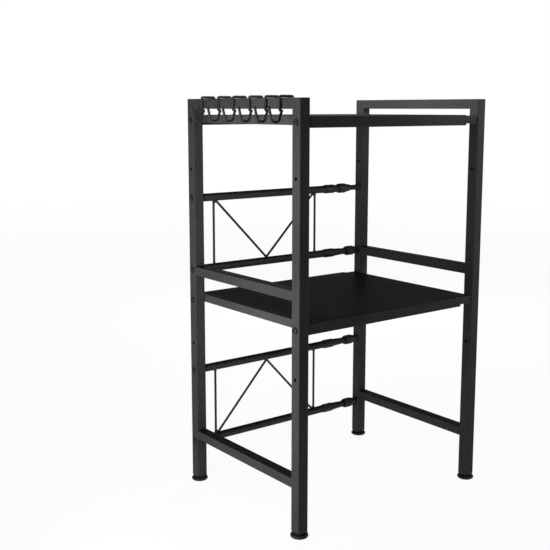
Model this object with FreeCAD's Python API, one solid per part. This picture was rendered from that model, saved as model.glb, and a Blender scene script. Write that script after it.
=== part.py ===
import FreeCAD, Part
import math
import os
from FreeCAD import Vector

# Width-adjustable two-shelf microwave stand, in millimetres.
# Two welded side frames of square tube stand on levelling feet. Each shelf is a folded main pan
# on the left frame with an extension pan of the right frame nested under it. Four telescoping
# rear rails join the frames and are locked by collets and lock nuts. Six hooks ride on the left
# frame's top rail.
# X runs right, Y runs back and Z runs up. The origin is on the floor, below the middle of the
# whole stand's outline as it stands pushed together.

# Overall stand, pushed together
frame_width = 467.0
frame_depth = 352.0
overall_height = 780.0

# Square posts and the flat rails welded between them
post_side = 22.0
rail_height = 19.0
tube_wall = 1.2
tube_corner = 2.0
weld_trim = 0.3
bottom_rail_top = 110.0
guard_rail_above_shelf = 58.5

# Plugs flush in the tops of the posts and threaded inserts in their feet
cap_plug = 12.0
insert_head = 2.0
insert_plug = 28.0
plug_clearance = 0.05

# Folded shelf pans
sheet = 1.2
fold_radius = 2.0
top_shelf_drop = 30.5
mid_shelf_level = 392.5
main_lip = 20.0
extension_lip = 15.0
end_flange = 16.0
flange_corner = 4.0
shown_extension_pan = 33.0
extension_pan_setback = 25.0
running_gap = 0.3

# Telescoping rear rails
rail_1_below_top_shelf = 163.5
rail_2_above_mid_shelf = 50.5
rail_3_below_mid_shelf = 157.5
rail_4_below_bottom_rail = 26.0
rails_with_tight_nut = (1,)
outer_radius = 8.0
outer_wall = 1.0
inner_radius = 5.75
inner_wall = 1.0
inner_tube_setback = 40.0
ferrule_radius = 8.0
ferrule_length = 3.3
ferrule_overlap = 0.5

# Split collet pressed into the end of each outer tube
collet_spigot = 18.0
collet_collar = 27.0
collet_collar_radius = 9.5
collet_chamfer = 4.0
collet_cone = 34.0
collet_cone_root = 8.4
collet_cone_tip = 6.6
collet_slot = 1.2
collet_slot_length = 38.0
collet_clearance = 0.1

# Lock nut that screws over the collet
nut_grip = 21.0
nut_nose = 14.0
nut_radius = 10.5
nut_mouth_radius = 8.9
nut_mouth_taper = 4.5
nut_shoulder = 1.0
nut_nose_radius = 7.2
nut_grip_grooves = 12
nut_groove_radius = 1.3
nut_clearance = 0.3
nut_bore_clearance = 0.35
tight_nut_overlap = 21.4
loose_nut_gap = 3.4

# Brace wires between the rear rails of each pair
brace_radius = 2.4
brace_left_inset = 30.0
brace_right_inset = 25.3
diagonal_inset = 6.0
weld_gap = 0.05

# Bolts and nuts
bolt_radius = 2.9
bolt_hole_radius = 3.2
bolt_head_radius = 5.8
bolt_head_height = 3.2
bolt_head_round = 2.0
bolt_socket = 4.0
bolt_socket_depth = 1.8
bolt_tail = 2.0
hex_nut_width = 10.0
hex_nut_height = 5.0
nut_thread_gap = 0.05
end_nut_length = 10.0
shelf_bolt_drop = 11.0
upper_spare_hole_drop = 105.5
lower_spare_hole_drop = 99.5

# Levelling feet
foot_radius = 16.5
foot_height = 6.5
foot_round = 3.0
foot_neck_radius = 9.0
foot_neck = 3.2
stud_radius = 3.9
stud_length = 24.0
stud_clearance = 0.08

# Hooks on the left top rail; the shares place each one between the first and the last
hook_front_margin = 30.0
hook_rear_margin = 35.0
hook_shares = (0, 0.167, 0.363, 0.571, 0.771, 1)
hook_wire = 2.4
hook_inner_leg = 14.0
hook_inner_slack = 1.0
hook_top_bend = 2.8
hook_crimp = 5.0
hook_crimp_bend = 2.45
hook_crimp_return = 1.0
hook_depth = 41.0
hook_bend = 8.5
hook_stem_bend = 6.8
hook_flare = 6.0
hook_tip_height = 25.0

# How far cutting tools run past what they cut
cut_past = 1.0

# Places worked out from the sizes above
hook_offset = hook_wire + running_gap
hook_reach = hook_offset + 2 * hook_bend + hook_flare + hook_wire
foot_overhang = foot_radius - post_side / 2
left_x = (hook_reach - frame_width - foot_overhang) / 2
right_x = left_x + frame_width
left_inner = left_x + post_side
right_inner = right_x - post_side
front_y = -frame_depth / 2
rear_y = frame_depth / 2
front_post_y = front_y + post_side / 2
rear_post_y = rear_y - post_side / 2
foot_top = foot_height + foot_neck
insert_bottom = foot_top + running_gap
post_bottom = insert_bottom + insert_head
top_shelf_level = overall_height - top_shelf_drop
guard_rail_top = mid_shelf_level + guard_rail_above_shelf
shelf_levels = {"top": top_shelf_level, "mid": mid_shelf_level}
shelf_bolt_levels = [level - shelf_bolt_drop for level in shelf_levels.values()]
spare_hole_levels = [
    top_shelf_level - upper_spare_hole_drop,
    mid_shelf_level - lower_spare_hole_drop,
]
rear_rail_levels = [
    top_shelf_level - rail_1_below_top_shelf,
    mid_shelf_level + rail_2_above_mid_shelf,
    mid_shelf_level - rail_3_below_mid_shelf,
    bottom_rail_top - rail_4_below_bottom_rail,
]
nut_length = nut_grip + nut_nose
loose_nut_x = right_inner - ferrule_length - running_gap - nut_length
cone_end = loose_nut_x - loose_nut_gap
tight_nut_x = cone_end - tight_nut_overlap
outer_end = cone_end - collet_cone - collet_collar
first_hook_y = front_y + post_side + hook_front_margin
last_hook_y = rear_y - post_side - hook_rear_margin
left_upright_x = left_inner + brace_left_inset
right_upright_x = outer_end - brace_right_inset


# Shared shapes

def block(low, high):
    """A box between two corners."""
    return Part.makeBox(*[b - a for a, b in zip(low, high)], Vector(*low))


def rounded_bar(low, high, axis, radius):
    """A box whose four edges along one axis (0, 1 or 2) are rounded."""
    bar = block(low, high)
    edges = []
    for edge in bar.Edges:
        run = edge.Vertexes[1].Point - edge.Vertexes[0].Point
        if abs(run[axis]) > run.Length / 2:
            edges.append(edge)
    return bar.makeFillet(radius, edges)


def square_tube(low, high, axis):
    """A rectangular tube with rounded corners that runs along one axis."""
    inner_low = [value + tube_wall for value in low]
    inner_high = [value - tube_wall for value in high]
    inner_low[axis] = low[axis] - cut_past
    inner_high[axis] = high[axis] + cut_past
    outside = rounded_bar(low, high, axis, tube_corner)
    inside = rounded_bar(inner_low, inner_high, axis, tube_corner - tube_wall)
    return outside.cut(inside)


def rod(start, end, radius):
    """A round rod between two points."""
    run = Vector(*end) - Vector(*start)
    return Part.makeCylinder(radius, run.Length, Vector(*start), run)


def rod_along_x(x_low, x_high, y, z, radius):
    """A round rod along X."""
    return rod((x_low, y, z), (x_high, y, z), radius)


def tube_along_x(x_low, x_high, y, z, radius, wall):
    """A round tube along X."""
    bore = rod_along_x(x_low - cut_past, x_high + cut_past, y, z, radius - wall)
    return rod_along_x(x_low, x_high, y, z, radius).cut(bore)


def turned(profile):
    """A solid turned about the X axis from (place along the axis, radius) points."""
    points = [Vector(place, radius, 0) for place, radius in profile]
    face = Part.Face(Part.makePolygon(points + points[:1]))
    return face.revolve(Vector(), Vector(1, 0, 0), 360)


def hex_prism(width, height):
    """A hexagonal prism along +X, width across its flats."""
    corner = width / math.sqrt(3)
    angles = [math.radians(60 * step) for step in range(7)]
    points = [Vector(0, corner * math.cos(angle), corner * math.sin(angle)) for angle in angles]
    return Part.Face(Part.makePolygon(points)).extrude(Vector(height, 0, 0))


def bent_wire(points, bends, radius):
    """A round wire along straight runs, with an arc of the given radius at each inner point."""
    points = [Vector(*point) for point in points]
    edges = []
    last = points[0]
    for before, corner, after, bend in zip(points, points[1:], points[2:], bends):
        back = (before - corner).normalize()
        ahead = (after - corner).normalize()
        half = back.getAngle(ahead) / 2
        reach = bend / math.tan(half)
        inward = (back + ahead).normalize()
        start = corner + back * reach
        middle = corner + inward * (bend / math.sin(half) - bend)
        end = corner + ahead * reach
        edges.append(Part.makeLine(last, start))
        edges.append(Part.Arc(start, middle, end).toShape())
        last = end
    edges.append(Part.makeLine(last, points[-1]))
    circle = Part.Wire(Part.makeCircle(radius, points[0], points[1] - points[0]))
    wire = Part.Wire(edges).makePipeShell([circle], True, True)
    tips = [Part.makeSphere(radius, tip) for tip in (points[0], points[-1])]
    return wire.fuse(tips).removeSplitter()


# Side frames

def post(x_low, y_low, hole_levels):
    """One upright post, with a bolt hole through both walls at each level."""
    high = (x_low + post_side, y_low + post_side, overall_height)
    tube = square_tube((x_low, y_low, post_bottom), high, 2)
    y = y_low + post_side / 2
    for level in hole_levels:
        x_high = x_low + post_side + cut_past
        tube = tube.cut(rod_along_x(x_low - cut_past, x_high, y, level, bolt_hole_radius))
    return tube


def side_rail(x_low, top):
    """One flat rail, whose welded ends fill in around the rounded corners of both posts."""
    low_y = front_y + post_side
    high_y = rear_y - post_side
    weld_reach = tube_corner - weld_trim
    low = (x_low, low_y - weld_reach, top - rail_height)
    rail = square_tube(low, (x_low + post_side, high_y + weld_reach, top), 1)
    for post_y in (front_y, high_y):
        post_low = (x_low, post_y, top - rail_height - cut_past)
        post_high = (x_low + post_side, post_y + post_side, top + cut_past)
        rail = rail.cut(rounded_bar(post_low, post_high, 2, tube_corner))
    return rail


def plug(x_low, y_low, z_low, z_high):
    """A square plug that fits inside a post."""
    inset = tube_wall + plug_clearance
    low = (x_low + inset, y_low + inset, z_low)
    high = (x_low + post_side - inset, y_low + post_side - inset, z_high)
    return rounded_bar(low, high, 2, tube_corner - tube_wall)


def foot_insert(x_low, y_low):
    """The threaded insert in the bottom of a post."""
    high = (x_low + post_side, y_low + post_side, post_bottom)
    head = rounded_bar((x_low, y_low, insert_bottom), high, 2, tube_corner)
    body = head.fuse(plug(x_low, y_low, post_bottom, post_bottom + insert_plug))
    centre = (x_low + post_side / 2, y_low + post_side / 2)
    top = post_bottom + insert_plug + cut_past
    bore = rod((*centre, insert_bottom - cut_past), (*centre, top), stud_radius + stud_clearance)
    return body.cut(bore)


def side_frame(side, x_low):
    """The tubes, caps and inserts of one side frame."""
    front_holes = [*shelf_bolt_levels, *spare_hole_levels]
    corners = [(x_low, front_y), (x_low, rear_y - post_side)]
    caps = [plug(*corner, overall_height - cap_plug, overall_height) for corner in corners]
    inserts = [foot_insert(*corner) for corner in corners]
    return {
        f"{side}_front_post": post(x_low, front_y, front_holes),
        f"{side}_rear_post": post(x_low, rear_y - post_side, [*front_holes, *rear_rail_levels]),
        f"{side}_top_rail": side_rail(x_low, overall_height),
        f"{side}_guard_rail": side_rail(x_low, guard_rail_top),
        f"{side}_bottom_rail": side_rail(x_low, bottom_rail_top),
        f"{side}_post_caps": Part.makeCompound(caps),
        f"{side}_foot_inserts": Part.makeCompound(inserts),
    }


# Shelves

def round_folds(solid, flange_x, top, radius):
    """Rounds the top edges and the upright corners at the flanged end."""
    close = radius / 10
    edges = []
    for edge in solid.Edges:
        box = edge.BoundBox
        at_flange = abs(box.XMin - flange_x) < close and abs(box.XMax - flange_x) < close
        on_top = abs(box.ZMin - top) < close
        along = box.XLength > radius
        upright = box.ZLength > radius
        if (on_top and (along or at_flange)) or (upright and at_flange):
            edges.append(edge)
    return solid.makeFillet(radius, edges)


def folded_pan(low, high, flange_left):
    """A shelf pan with a front lip, a rear lip and one end flange, open at its other end."""
    inner_low = [low[0] - cut_past, low[1] + sheet, low[2] - cut_past]
    inner_high = [high[0] + cut_past, high[1] - sheet, high[2] - sheet]
    if flange_left:
        flange_x = low[0]
        inner_low[0] = low[0] + sheet
        inner_flange_x = inner_low[0]
    else:
        flange_x = high[0]
        inner_high[0] = high[0] - sheet
        inner_flange_x = inner_high[0]
    outside = round_folds(block(low, high), flange_x, high[2], fold_radius)
    inside = block(inner_low, inner_high)
    inside = round_folds(inside, inner_flange_x, inner_high[2], fold_radius - sheet)
    return outside.cut(inside)


def drill_flange(pan, flange_x, level):
    """Drills the bolt holes that line up with the posts' shelf holes."""
    reach = sheet + cut_past
    for y in (front_post_y, rear_post_y):
        pan = pan.cut(rod_along_x(flange_x - reach, flange_x + reach, y, level, bolt_hole_radius))
    return pan


def main_pan(level):
    """The outer pan of a shelf, bolted to the left frame; its end flange is cut back."""
    low = (left_inner, front_y, level - main_lip)
    high = (right_inner - shown_extension_pan, rear_y, level)
    pan = folded_pan(low, high, True)
    notch_low = (left_inner - cut_past, front_y + flange_corner, level - main_lip - cut_past)
    notch_high = (left_inner + fold_radius, rear_y - flange_corner, level - end_flange)
    pan = pan.cut(block(notch_low, notch_high))
    return drill_flange(pan, left_inner, level - shelf_bolt_drop)


def extension_pan(level):
    """The inner pan of a shelf, bolted to the right frame and nested under the main pan."""
    inset = sheet + running_gap
    top = level - inset
    low = (left_inner + extension_pan_setback, front_y + inset, top - extension_lip)
    high = (right_inner, rear_y - inset, top)
    pan = folded_pan(low, high, False)
    return drill_flange(pan, right_inner, level - shelf_bolt_drop)


# Rear rails

def outer_tube(level):
    """The thick tube of a rear rail, which butts on the left rear post."""
    return tube_along_x(left_inner, outer_end, rear_post_y, level, outer_radius, outer_wall)


def inner_tube(level):
    """The thin tube of a rear rail, with a ferrule where it meets the right rear post."""
    x_low = left_inner + inner_tube_setback
    tube = tube_along_x(x_low, right_inner, rear_post_y, level, inner_radius, inner_wall)
    ring_x = right_inner - ferrule_length
    ring_wall = ferrule_radius - inner_radius + ferrule_overlap
    ring = tube_along_x(ring_x, right_inner, rear_post_y, level, ferrule_radius, ring_wall)
    return tube.fuse(ring)


def collet(level):
    """The split plastic collet that grips the thin tube."""
    bore = inner_radius + collet_clearance
    spigot_radius = outer_radius - outer_wall - plug_clearance
    end = collet_collar + collet_cone
    profile = [
        (-collet_spigot, bore),
        (-collet_spigot, spigot_radius),
        (0, spigot_radius),
        (0, outer_radius),
        (collet_chamfer, collet_collar_radius),
        (collet_collar, collet_collar_radius),
        (collet_collar, collet_cone_root),
        (end, collet_cone_tip),
        (end, bore),
    ]
    solid = turned(profile)
    reach = collet_collar_radius + cut_past
    start = end - collet_slot_length
    half = collet_slot / 2
    solid = solid.cut(block((start, -reach, -half), (end + cut_past, reach, half)))
    solid = solid.cut(block((start, -half, -reach), (end + cut_past, half, reach)))
    solid.translate(Vector(outer_end, rear_post_y, level))
    return solid


def lock_nut(number, level):
    """The grooved nut of a rear rail, screwed onto its collet or slid along the thin tube."""
    x = tight_nut_x if number in rails_with_tight_nut else loose_nut_x
    slope = (collet_cone_root - collet_cone_tip) / collet_cone
    tip_bore = collet_cone_tip + nut_clearance
    mouth_bore = tip_bore + slope * tight_nut_overlap
    bore = inner_radius + nut_bore_clearance
    step = tight_nut_overlap + nut_clearance
    profile = [
        (0, mouth_bore),
        (0, nut_mouth_radius),
        (nut_mouth_taper, nut_radius),
        (nut_grip - nut_shoulder, nut_radius),
        (nut_grip, nut_radius - nut_shoulder),
        (nut_length, nut_nose_radius),
        (nut_length, bore),
        (step, bore),
        (step, tip_bore),
    ]
    nut = turned(profile)
    reach = nut_radius + nut_groove_radius / 2
    for groove in range(nut_grip_grooves):
        angle = 2 * math.pi * groove / nut_grip_grooves
        y = reach * math.cos(angle)
        z = reach * math.sin(angle)
        nut = nut.cut(rod_along_x(-cut_past, nut_grip, y, z, nut_groove_radius))
    nut.translate(Vector(x, rear_post_y, level))
    return nut


def brace_wire(start_x, start_level, end_x, end_level):
    """One brace wire between two rear rails, shaped to the tubes that it is welded to."""
    start = (start_x, rear_post_y, start_level)
    wire = rod(start, (end_x, rear_post_y, end_level), brace_radius)
    for level in (start_level, end_level):
        seat = rod_along_x(left_inner, outer_end, rear_post_y, level, outer_radius + weld_gap)
        wire = wire.cut(seat)
    return wire


def brace(name, foot_level, apex_level):
    """The two uprights and two diagonals of one pair; the diagonals are mitred at the apex."""
    apex_x = (left_upright_x + right_upright_x) / 2
    drop = abs(apex_level - foot_level)
    lean = (apex_x - left_upright_x - diagonal_inset) / (drop - 2 * outer_radius)
    reach = lean * outer_radius
    left_foot_x = left_upright_x + diagonal_inset - reach
    right_foot_x = right_upright_x - diagonal_inset + reach
    runs = {
        "left_upright": (left_upright_x, left_upright_x),
        "left_diagonal": (left_foot_x, apex_x + reach),
        "right_diagonal": (right_foot_x, apex_x - reach),
        "right_upright": (right_upright_x, right_upright_x),
    }
    wires = {
        place: brace_wire(start_x, foot_level, end_x, apex_level)
        for place, (start_x, end_x) in runs.items()
    }
    low_z, high_z = sorted((foot_level, apex_level))
    near_y = rear_post_y - brace_radius - cut_past
    far_y = rear_post_y + brace_radius + cut_past
    past_left = block((apex_x - weld_gap, near_y, low_z), (right_upright_x, far_y, high_z))
    past_right = block((left_upright_x, near_y, low_z), (apex_x + weld_gap, far_y, high_z))
    wires["left_diagonal"] = wires["left_diagonal"].cut(past_left)
    wires["right_diagonal"] = wires["right_diagonal"].cut(past_right)
    return {f"{name}_{place}_wire": wire for place, wire in wires.items()}


# Fasteners

def bolt(x, y, z, length, head_left):
    """A socket-headed bolt along X, with its head seated at x."""
    shank = rod_along_x(0, length, 0, 0, bolt_radius)
    head = rod_along_x(-bolt_head_height, 0, 0, 0, bolt_head_radius)
    rim = [edge for edge in head.Edges if edge.BoundBox.XMax < -bolt_head_height / 2]
    head = head.makeFillet(bolt_head_round, rim)
    socket = hex_prism(bolt_socket, bolt_socket_depth)
    socket.translate(Vector(-bolt_head_height, 0, 0))
    solid = head.cut(socket).fuse(shank)
    if not head_left:
        solid.rotate(Vector(), Vector(0, 0, 1), 180)
    solid.translate(Vector(x, y, z))
    return solid


def hex_nut(x_low, y, z):
    """A hexagonal nut with its axis along X."""
    nut = hex_prism(hex_nut_width, hex_nut_height)
    bore_radius = bolt_radius + nut_thread_gap
    nut = nut.cut(rod_along_x(-cut_past, hex_nut_height + cut_past, 0, 0, bore_radius))
    nut.translate(Vector(x_low, y, z))
    return nut


def end_nut(x_low, level, radius):
    """A threaded plug fixed inside the end of a rear tube."""
    wall = radius - bolt_radius - nut_thread_gap
    return tube_along_x(x_low, x_low + end_nut_length, rear_post_y, level, radius, wall)


def fasteners(side):
    """The shelf bolts, shelf nuts, rail bolts and rail end nuts of one side."""
    on_left = side == "left"
    if on_left:
        head_x = left_x
        nut_x = left_inner + sheet
        end_nut_x = left_inner
        tube_bore = outer_radius - outer_wall
        tube = "outer_tube"
    else:
        head_x = right_x
        nut_x = right_inner - sheet - hex_nut_height
        end_nut_x = right_inner - end_nut_length
        tube_bore = inner_radius - inner_wall
        tube = "inner_tube"
    shelf_length = post_side + sheet + hex_nut_height + bolt_tail
    shelf_bolts = []
    shelf_nuts = []
    for level in shelf_bolt_levels:
        for y in (front_post_y, rear_post_y):
            shelf_bolts.append(bolt(head_x, y, level, shelf_length, on_left))
            shelf_nuts.append(hex_nut(nut_x, y, level))
    rail_length = post_side + end_nut_length
    rail_bolts = []
    end_nuts = []
    for level in rear_rail_levels:
        rail_bolts.append(bolt(head_x, rear_post_y, level, rail_length, on_left))
        end_nuts.append(end_nut(end_nut_x, level, tube_bore - plug_clearance))
    return {
        f"{side}_shelf_bolts": Part.makeCompound(shelf_bolts),
        f"{side}_shelf_nuts": Part.makeCompound(shelf_nuts),
        f"{side}_rail_bolts": Part.makeCompound(rail_bolts),
        f"{tube}_end_nuts": Part.makeCompound(end_nuts),
    }


# Feet and hooks

def levelling_foot(x, y):
    """A round foot with a rounded rim, a neck and a threaded stud."""
    pad = rod((x, y, 0), (x, y, foot_height), foot_radius)
    rims = [edge for edge in pad.Edges if edge.BoundBox.ZLength < foot_height / 2]
    pad = pad.makeFillet(foot_round, rims)
    neck = rod((x, y, 0), (x, y, foot_top), foot_neck_radius)
    stud = rod((x, y, 0), (x, y, foot_top + stud_length), stud_radius)
    return pad.fuse([neck, stud]).removeSplitter()


def hook(share):
    """A wire hook that is crimped under the left top rail and opens outward."""
    y = first_hook_y + share * (last_hook_y - first_hook_y)
    top = overall_height + hook_offset
    under_rail = overall_height - rail_height - hook_offset
    bottom = overall_height - hook_depth
    stem_x = left_x - hook_offset
    inner_x = left_inner + hook_offset + hook_inner_slack
    open_x = stem_x - 2 * hook_bend
    path = [
        ((inner_x, y, overall_height - hook_inner_leg), None),
        ((inner_x, y, top), hook_top_bend),
        ((stem_x, y, top), hook_top_bend),
        ((stem_x, y, under_rail), hook_crimp_bend),
        ((stem_x + hook_crimp, y, under_rail), hook_crimp_return),
        ((stem_x, y, bottom + hook_bend), hook_crimp_bend),
        ((stem_x, y, bottom), hook_stem_bend),
        ((open_x, y, bottom), hook_bend),
        ((open_x - hook_flare, y, bottom + hook_tip_height), None),
    ]
    points = [point for point, bend in path]
    bends = [bend for point, bend in path if bend]
    return bent_wire(points, bends, hook_wire)


# The whole stand, one named node per sub-part

def build_nodes():
    """Every sub-part of the stand, by node name."""
    nodes = {}
    for side, x_low in (("left", left_x), ("right", right_inner)):
        centre_x = x_low + post_side / 2
        nodes.update(side_frame(side, x_low))
        nodes.update(fasteners(side))
        nodes[f"{side}_front_foot"] = levelling_foot(centre_x, front_post_y)
        nodes[f"{side}_rear_foot"] = levelling_foot(centre_x, rear_post_y)
    for name, level in shelf_levels.items():
        nodes[f"{name}_shelf_main_pan"] = main_pan(level)
        nodes[f"{name}_shelf_extension_pan"] = extension_pan(level)
    for number, level in enumerate(rear_rail_levels, start=1):
        nodes[f"rear_rail_{number}_outer_tube"] = outer_tube(level)
        nodes[f"rear_rail_{number}_inner_tube"] = inner_tube(level)
        nodes[f"rear_rail_{number}_collet"] = collet(level)
        nodes[f"rear_rail_{number}_lock_nut"] = lock_nut(number, level)
    nodes.update(brace("upper_brace", rear_rail_levels[0], rear_rail_levels[1]))
    nodes.update(brace("lower_brace", rear_rail_levels[3], rear_rail_levels[2]))
    for number, share in enumerate(hook_shares, start=1):
        nodes[f"hook_{number}"] = hook(share)
    return nodes


os.makedirs("parts", exist_ok=True)
for node, shape in build_nodes().items():
    shape.exportStep(f"parts/{node}.step")
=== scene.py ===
import math

import bpy
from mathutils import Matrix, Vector


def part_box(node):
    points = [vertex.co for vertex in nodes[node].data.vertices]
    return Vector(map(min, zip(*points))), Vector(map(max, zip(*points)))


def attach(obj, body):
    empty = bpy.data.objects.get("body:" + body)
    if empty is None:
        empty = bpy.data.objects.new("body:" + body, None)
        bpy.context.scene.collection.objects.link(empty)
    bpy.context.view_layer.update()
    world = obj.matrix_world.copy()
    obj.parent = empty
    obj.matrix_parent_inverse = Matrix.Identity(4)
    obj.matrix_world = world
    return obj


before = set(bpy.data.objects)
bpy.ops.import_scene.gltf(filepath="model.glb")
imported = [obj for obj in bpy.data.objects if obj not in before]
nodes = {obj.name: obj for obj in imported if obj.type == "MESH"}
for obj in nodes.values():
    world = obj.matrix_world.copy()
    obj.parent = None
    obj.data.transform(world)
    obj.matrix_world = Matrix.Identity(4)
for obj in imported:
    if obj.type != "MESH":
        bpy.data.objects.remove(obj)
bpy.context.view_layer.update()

# The camera stands left of and in front of the stand, a little below its top.
CAMERA_PLACE = (-1.1943, -1.3813, 0.7622)
CAMERA_TURN = 0.65175
CAMERA_DIP = 0.15568
IMAGE_WIDTH = 550
FOCAL_PIXELS = 922.4
SENSOR_WIDTH = 36.0
CAMERA_SHIFT_Y = -0.04

# Painted shade: darker colours for the coats' upward faces, standing in for the little light that
# falls on tops
SHELF_TOP_PAINTED_SHADE = (0.01, 0.01, 0.0105)
TUBE_TOP_PAINTED_SHADE = (0.002, 0.002, 0.0022)


# Material helpers

def new_material(name):
    """A node material with its Principled shader."""
    material = bpy.data.materials.new(name)
    material.use_nodes = True
    tree = material.node_tree
    return material, tree, tree.nodes["Principled BSDF"]


def add_noise(tree, coords, scale, detail, roughness=0.5):
    """A noise texture on the given coordinates."""
    noise = tree.nodes.new("ShaderNodeTexNoise")
    noise.inputs["Scale"].default_value = scale
    noise.inputs["Detail"].default_value = detail
    noise.inputs["Roughness"].default_value = roughness
    tree.links.new(coords, noise.inputs["Vector"])
    return noise.outputs["Fac"]


def add_ramp(tree, value, low, high, low_value, high_value):
    """Maps a value from one range to another."""
    mapping = tree.nodes.new("ShaderNodeMapRange")
    mapping.inputs["From Min"].default_value = low
    mapping.inputs["From Max"].default_value = high
    mapping.inputs["To Min"].default_value = low_value
    mapping.inputs["To Max"].default_value = high_value
    tree.links.new(value, mapping.inputs["Value"])
    return mapping.outputs["Result"]


def add_mix(tree, factor, first, second):
    """Mixes two colours by a factor."""
    mix = tree.nodes.new("ShaderNodeMix")
    mix.data_type = "RGBA"
    mix.inputs["A"].default_value = (*first, 1)
    mix.inputs["B"].default_value = (*second, 1)
    tree.links.new(factor, mix.inputs["Factor"])
    return mix.outputs["Result"]


def add_bump(tree, height, distance, strength, below=None):
    """A bump node, on top of another one if given."""
    bump = tree.nodes.new("ShaderNodeBump")
    bump.inputs["Distance"].default_value = distance
    bump.inputs["Strength"].default_value = strength
    tree.links.new(height, bump.inputs["Height"])
    if below:
        tree.links.new(below, bump.inputs["Normal"])
    return bump.outputs["Normal"]


def object_coords(tree):
    """The piece's own coordinates, in metres."""
    return tree.nodes.new("ShaderNodeTexCoord").outputs["Object"]


def powder_coat(name, dark, light, roughness, specular, peel=0.5):
    """Satin powder coat: a fine orange peel, faint mottling and slightly uneven gloss."""
    material, tree, shader = new_material(name)
    coords = object_coords(tree)
    mottle = add_noise(tree, coords, 380.0, 3.0)
    cloud = add_noise(tree, coords, 9.0, 2.0)
    shade = tree.nodes.new("ShaderNodeMath")
    shade.operation = "MULTIPLY"
    tree.links.new(mottle, shade.inputs[0])
    tree.links.new(cloud, shade.inputs[1])
    factor = add_ramp(tree, shade.outputs["Value"], 0.12, 0.40, 0.0, 1.0)
    tree.links.new(add_mix(tree, factor, dark, light), shader.inputs["Base Color"])
    tree.links.new(
        add_ramp(tree, cloud, 0.3, 0.7, roughness - 0.05, roughness + 0.05),
        shader.inputs["Roughness"],
    )
    shader.inputs["Specular IOR Level"].default_value = specular
    fine = add_noise(tree, coords, 1400.0, 2.0)
    wide = add_noise(tree, coords, 420.0, 2.0)
    normal = add_bump(tree, wide, 0.00005, peel)
    tree.links.new(add_bump(tree, fine, 0.00002, peel, normal), shader.inputs["Normal"])
    return material


def paint_shade_on_tops(material, colour):
    """Paints shade on upward faces: a darker and more even colour than the sides, standing in for the
    little light from above.
    """
    tree = material.node_tree
    shader = tree.nodes["Principled BSDF"]
    split = tree.nodes.new("ShaderNodeSeparateXYZ")
    geometry = tree.nodes.new("ShaderNodeNewGeometry")
    tree.links.new(geometry.outputs["True Normal"], split.inputs[0])
    mix = tree.nodes.new("ShaderNodeMix")
    mix.data_type = "RGBA"
    # Painted shade mask: faces that point upwards take the darker colour
    tree.links.new(add_ramp(tree, split.outputs["Z"], 0.3, 0.9, 0.0, 0.9), mix.inputs["Factor"])
    tree.links.new(shader.inputs["Base Color"].links[0].from_socket, mix.inputs["A"])
    mix.inputs["B"].default_value = (*colour, 1)
    tree.links.new(mix.outputs["Result"], shader.inputs["Base Color"])


def moulded_plastic(name, dark, light, roughness, specular):
    """Moulded black plastic with a fine spark-eroded grain."""
    material, tree, shader = new_material(name)
    coords = object_coords(tree)
    grain = add_noise(tree, coords, 2200.0, 3.0)
    cloud = add_noise(tree, coords, 40.0, 2.0)
    tree.links.new(
        add_mix(tree, add_ramp(tree, cloud, 0.3, 0.7, 0.0, 1.0), dark, light),
        shader.inputs["Base Color"],
    )
    tree.links.new(
        add_ramp(tree, grain, 0.3, 0.7, roughness - 0.06, roughness + 0.06),
        shader.inputs["Roughness"],
    )
    shader.inputs["Specular IOR Level"].default_value = specular
    tree.links.new(add_bump(tree, grain, 0.00004, 0.4), shader.inputs["Normal"])
    return material


def black_oxide(name):
    """Blackened steel with fine turning marks and slightly burnished patches."""
    material, tree, shader = new_material(name)
    coords = object_coords(tree)
    patches = add_noise(tree, coords, 600.0, 3.0)
    factor = add_ramp(tree, patches, 0.45, 0.75, 0.0, 1.0)
    tree.links.new(
        add_mix(tree, factor, (0.008, 0.008, 0.0085), (0.03, 0.03, 0.031)),
        shader.inputs["Base Color"],
    )
    tree.links.new(add_ramp(tree, patches, 0.3, 0.7, 0.45, 0.32), shader.inputs["Roughness"])
    shader.inputs["Metallic"].default_value = 0.6
    tree.links.new(
        add_bump(tree, add_noise(tree, coords, 1800.0, 2.0), 0.00002, 0.4),
        shader.inputs["Normal"],
    )
    return material


def assign(material, name):
    """Gives a CAD node a material."""
    mesh = nodes[name].data
    mesh.materials.clear()
    mesh.materials.append(material)


tube_coat = powder_coat(
    "tube_powder_coat", dark=(0.034, 0.034, 0.035), light=(0.05, 0.05, 0.052),
    roughness=0.42, specular=0.045,
)
# Painted light: the shelf is the same paint as the tubes, but its colours are set lighter to brighten
# the folded lips
shelf_coat = powder_coat(
    "shelf_powder_coat", dark=(0.05, 0.05, 0.051), light=(0.068, 0.068, 0.07),
    roughness=0.42, specular=0.003,
)
# Painted shade on the upward faces of the shelf and tube coats
paint_shade_on_tops(shelf_coat, SHELF_TOP_PAINTED_SHADE)
paint_shade_on_tops(tube_coat, TUBE_TOP_PAINTED_SHADE)
wire_coat = powder_coat(
    "wire_coat", dark=(0.014, 0.014, 0.0145), light=(0.024, 0.024, 0.025),
    roughness=0.4, specular=0.15, peel=0.3,
)
plastic = moulded_plastic(
    "moulded_black_plastic", dark=(0.008, 0.008, 0.0085), light=(0.014, 0.014, 0.0145),
    roughness=0.48, specular=0.25,
)
fastener = black_oxide("black_oxide_steel")

MATERIAL_OF = (
    ("_pan", shelf_coat),
    ("hook_", wire_coat),
    ("_wire", wire_coat),
    ("_lock_nut", plastic),
    ("_collet", plastic),
    ("_foot", plastic),
    ("_caps", plastic),
    ("_bolts", fastener),
    ("_shelf_nuts", fastener),
    ("_end_nuts", fastener),
)
for name in nodes:
    chosen = tube_coat
    for part, material in MATERIAL_OF:
        if part in name:
            chosen = material
            break
    assign(chosen, name)


# Weld beads, which the coat covers like the tubes

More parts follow.
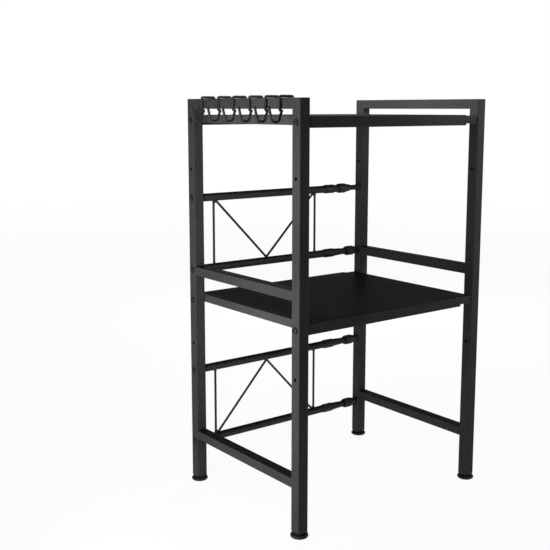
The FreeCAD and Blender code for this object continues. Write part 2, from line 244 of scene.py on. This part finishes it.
BEAD_RADIUS = 0.0011
BEAD_RIPPLE = 0.14
RIPPLE_LENGTH = 0.0017
BEAD_SIDES = 10
BEAD_MARGIN = 0.003
TIP_SHARE = 0.35
TIP_GROWTH = 6
TACK_RADIUS = 0.0009
TACK_STEPS = 20
TACK_RIPPLES = 5


def ring_frame(axis):
    """Two directions square to an axis and to each other."""
    side = axis.orthogonal().normalized()
    return side, axis.cross(side).normalized()


def add_bead(verts, faces, start, end):
    """A straight bead with the ripples of a hand weld, tapered at both ends."""
    run = end - start
    across, up = ring_frame(run.normalized())
    steps = max(8, round(run.length / RIPPLE_LENGTH * 4))
    first = len(verts)
    for step in range(steps + 1):
        share = step / steps
        taper = min(1.0, TIP_SHARE + TIP_GROWTH * share, TIP_SHARE + TIP_GROWTH * (1 - share))
        swell = 1 + BEAD_RIPPLE * math.sin(2 * math.pi * share * run.length / RIPPLE_LENGTH)
        for side in range(BEAD_SIDES):
            angle = 2 * math.pi * side / BEAD_SIDES
            reach = BEAD_RADIUS * taper * swell
            outward = across * math.cos(angle) + up * math.sin(angle)
            verts.append(start + run * share + outward * reach)
    for step in range(steps):
        for side in range(BEAD_SIDES):
            a = first + step * BEAD_SIDES + side
            b = first + step * BEAD_SIDES + (side + 1) % BEAD_SIDES
            faces.append((a, b, b + BEAD_SIDES, a + BEAD_SIDES))
    faces.append([first + side for side in reversed(range(BEAD_SIDES))])
    last = first + steps * BEAD_SIDES
    faces.append([last + side for side in range(BEAD_SIDES)])


def add_tack(verts, faces, centre, axis, radius):
    """A ring of weld around a wire."""
    across, up = ring_frame(axis)
    first = len(verts)
    for step in range(TACK_STEPS):
        angle = 2 * math.pi * step / TACK_STEPS
        outward = across * math.cos(angle) + up * math.sin(angle)
        swell = 1 + BEAD_RIPPLE * math.sin(TACK_RIPPLES * angle)
        for side in range(BEAD_SIDES):
            turn = 2 * math.pi * side / BEAD_SIDES
            reach = outward * math.cos(turn) + axis * math.sin(turn)
            verts.append(centre + outward * radius + reach * TACK_RADIUS * swell)
    for step in range(TACK_STEPS):
        for side in range(BEAD_SIDES):
            a = first + step * BEAD_SIDES + side
            b = first + step * BEAD_SIDES + (side + 1) % BEAD_SIDES
            c = first + (step + 1) % TACK_STEPS * BEAD_SIDES + (side + 1) % BEAD_SIDES
            d = first + (step + 1) % TACK_STEPS * BEAD_SIDES + side
            faces.append((a, d, c, b))


def weld_piece(name, body, verts, faces):
    """One smooth piece made of a group of welds."""
    mesh = bpy.data.meshes.new(name)
    mesh.from_pydata(verts, [], faces)
    mesh.update()
    for face in mesh.polygons:
        face.use_smooth = True
    mesh.materials.append(tube_coat)
    piece = bpy.data.objects.new(name, mesh)
    bpy.context.scene.collection.objects.link(piece)
    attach(piece, body)


def rail_welds(side):
    """Beads in the corners where the flat rails of one side meet its posts."""
    verts = []
    faces = []
    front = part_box(f"{side}_front_post")[1].y
    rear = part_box(f"{side}_rear_post")[0].y
    for rail in ("top_rail", "guard_rail", "bottom_rail"):
        low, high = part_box(f"{side}_{rail}")
        levels = [low.z] if rail == "top_rail" else [low.z, high.z]
        for level in levels:
            for y in (front, rear):
                start = Vector((low.x + BEAD_MARGIN, y, level))
                end = Vector((high.x - BEAD_MARGIN, y, level))
                add_bead(verts, faces, start, end)
    weld_piece(f"{side}_rail_welds", f"{side}_frame", verts, faces)


def brace_welds():
    """Rings of weld where the brace wires meet the thick rear tubes."""
    verts = []
    faces = []
    for pair, apex_is_low in (("upper", True), ("lower", False)):
        for side in ("left", "right"):
            low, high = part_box(f"{pair}_brace_{side}_upright_wire")
            radius = (high.y - low.y) / 2
            middle = (low + high) / 2
            for level in (low.z + radius, high.z - radius):
                add_tack(verts, faces, Vector((middle.x, middle.y, level)), Vector((0, 0, 1)), radius)
            low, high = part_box(f"{pair}_brace_{side}_diagonal_wire")
            apex_x, foot_x = (high.x, low.x + radius) if side == "left" else (low.x, high.x - radius)
            apex_z, foot_z = (low.z, high.z - radius) if apex_is_low else (high.z, low.z + radius)
            foot = Vector((foot_x, middle.y, foot_z))
            apex = Vector((apex_x, middle.y, apex_z))
            add_tack(verts, faces, foot, (apex - foot).normalized(), radius)
            add_tack(verts, faces, apex, (apex - foot).normalized(), radius)
    weld_piece("brace_welds", "left_frame", verts, faces)


rail_welds("left")
rail_welds("right")
brace_welds()


# Floor, light and camera

def white_shown(tree):
    """1 for rays that show the background: from the camera, or mirrored or passed on."""
    path = tree.nodes.new("ShaderNodeLightPath")
    shown = path.outputs["Is Camera Ray"]
    for kind in ("Is Glossy Ray", "Is Transmission Ray"):
        either = tree.nodes.new("ShaderNodeMath")
        either.operation = "MAXIMUM"
        tree.links.new(shown, either.inputs[0])
        tree.links.new(path.outputs[kind], either.inputs[1])
        shown = either.outputs["Value"]
    return shown


def pick(tree, switch, off, on):
    """One of two values, by a switch of 0 or 1; each is a number or another node's output."""
    mix = tree.nodes.new("ShaderNodeMix")
    tree.links.new(switch, mix.inputs["Factor"])
    for socket, value in (("A", off), ("B", on)):
        if isinstance(value, float):
            mix.inputs[socket].default_value = value
        else:
            tree.links.new(value, mix.inputs[socket])
    return mix.outputs["Result"]


FLOOR_SIZE = 60.0
FLOOR_COLOUR = (0.8, 0.8, 0.8, 1)
FLOOR_SHADE = 0.06
NEAR_FLOOR = 1.2
FAR_FLOOR = 6.0


def make_floor():
    """A pale floor that keeps the stand's shadow near it and fades to white far away."""
    bpy.ops.mesh.primitive_plane_add(size=FLOOR_SIZE)
    floor = bpy.context.object
    floor.name = "floor"
    material = bpy.data.materials.new("pale_floor")
    material.use_nodes = True
    tree = material.node_tree
    tree.nodes.clear()
    output = tree.nodes.new("ShaderNodeOutputMaterial")
    diffuse = tree.nodes.new("ShaderNodeBsdfDiffuse")
    diffuse.inputs["Color"].default_value = FLOOR_COLOUR
    white = tree.nodes.new("ShaderNodeEmission")
    near = tree.nodes.new("ShaderNodeMixShader")
    coords = object_coords(tree)
    length = tree.nodes.new("ShaderNodeVectorMath")
    length.operation = "LENGTH"
    tree.links.new(coords, length.inputs[0])
    fade = add_ramp(tree, length.outputs["Value"], NEAR_FLOOR, FAR_FLOOR, 1 - FLOOR_SHADE, 1.0)
    shown = tree.nodes.new("ShaderNodeMath")
    shown.operation = "MULTIPLY"
    tree.links.new(white_shown(tree), shown.inputs[0])
    tree.links.new(fade, shown.inputs[1])
    tree.links.new(shown.outputs["Value"], near.inputs["Fac"])
    tree.links.new(diffuse.outputs["BSDF"], near.inputs[1])
    tree.links.new(white.outputs["Emission"], near.inputs[2])
    tree.links.new(near.outputs["Shader"], output.inputs["Surface"])
    floor.data.materials.append(material)


AMBIENT = 0.035
BACKDROP_TOP = 0.08
ROOM_START = 0.2
ROOM_SHADE = 0.05


def make_world():
    """A white backdrop up to a little above the view, a darker room above it."""
    world = bpy.data.worlds.new("studio")
    world.use_nodes = True
    tree = world.node_tree
    background = tree.nodes["Background"]
    background.inputs["Color"].default_value = (1, 1, 1, 1)
    path = tree.nodes.new("ShaderNodeLightPath")
    split = tree.nodes.new("ShaderNodeSeparateXYZ")
    tree.links.new(tree.nodes.new("ShaderNodeTexCoord").outputs["Generated"], split.inputs[0])
    mirrored = add_ramp(tree, split.outputs["Z"], BACKDROP_TOP, ROOM_START, 1.0, ROOM_SHADE)
    strength = pick(tree, path.outputs["Is Glossy Ray"], AMBIENT, mirrored)
    strength = pick(tree, path.outputs["Is Transmission Ray"], strength, 1.0)
    strength = pick(tree, path.outputs["Is Camera Ray"], strength, 1.0)
    tree.links.new(strength, background.inputs["Strength"])
    bpy.context.scene.world = world


def aim(thing, place, target):
    """Places a lamp and turns it to look at a point."""
    thing.location = place
    direction = [b - a for a, b in zip(place, target)]
    flat = math.hypot(direction[0], direction[1])
    pitch = math.atan2(flat, -direction[2])
    turn = math.atan2(direction[1], direction[0]) - math.pi / 2
    thing.rotation_euler = (pitch, 0, turn)


def softbox(name, place, target, width, height, power, mirrored=True):
    """A rectangular softbox that the camera doesn't see; glossy surfaces may mirror it."""
    data = bpy.data.lights.new(name, "AREA")
    data.shape = "RECTANGLE"
    data.size = width
    data.size_y = height
    data.energy = power
    lamp = bpy.data.objects.new(name, data)
    lamp.visible_camera = False
    lamp.visible_glossy = mirrored
    bpy.context.scene.collection.objects.link(lamp)
    aim(lamp, place, target)


def make_camera():
    """The camera, with its lens set by its focal length in pixels."""
    data = bpy.data.cameras.new("camera")
    data.sensor_width = SENSOR_WIDTH
    data.lens = SENSOR_WIDTH * FOCAL_PIXELS / IMAGE_WIDTH
    data.shift_y = CAMERA_SHIFT_Y
    camera = bpy.data.objects.new("camera", data)
    bpy.context.scene.collection.objects.link(camera)
    camera.location = CAMERA_PLACE
    camera.rotation_euler = (math.pi / 2 - CAMERA_DIP, 0, -CAMERA_TURN)
    bpy.context.scene.camera = camera


make_floor()
make_world()
softbox("left_softbox", (-0.62, -0.11, 0.5), (-0.2, -0.1, 0.45), 0.16, 0.8, 4.7)
softbox("over_shelf_softbox", (-0.1, 0.0, 1.0), (0.23, 0.0, 0.77), 0.3, 0.4, 4.0)
softbox("right_softbox", (0.62, -0.6, 0.65), (0.23, -0.17, 0.6), 0.3, 0.8, 1.1)
softbox("upper_right_softbox", (0.5, -0.5, 0.9), (0.23, -0.17, 0.7), 0.3, 0.3, 1.2)
softbox("top_softbox", (0.0, 0.0, 2.2), (0.0, 0.001, 0.0), 1.5, 1.5, 6.0)
softbox("rear_softbox", (1.4, 1.5, 1.0), (0.0, 0.0, 0.45), 0.9, 1.0, 30.0, mirrored=False)
make_camera()
bpy.context.scene.view_settings.view_transform = "Standard"
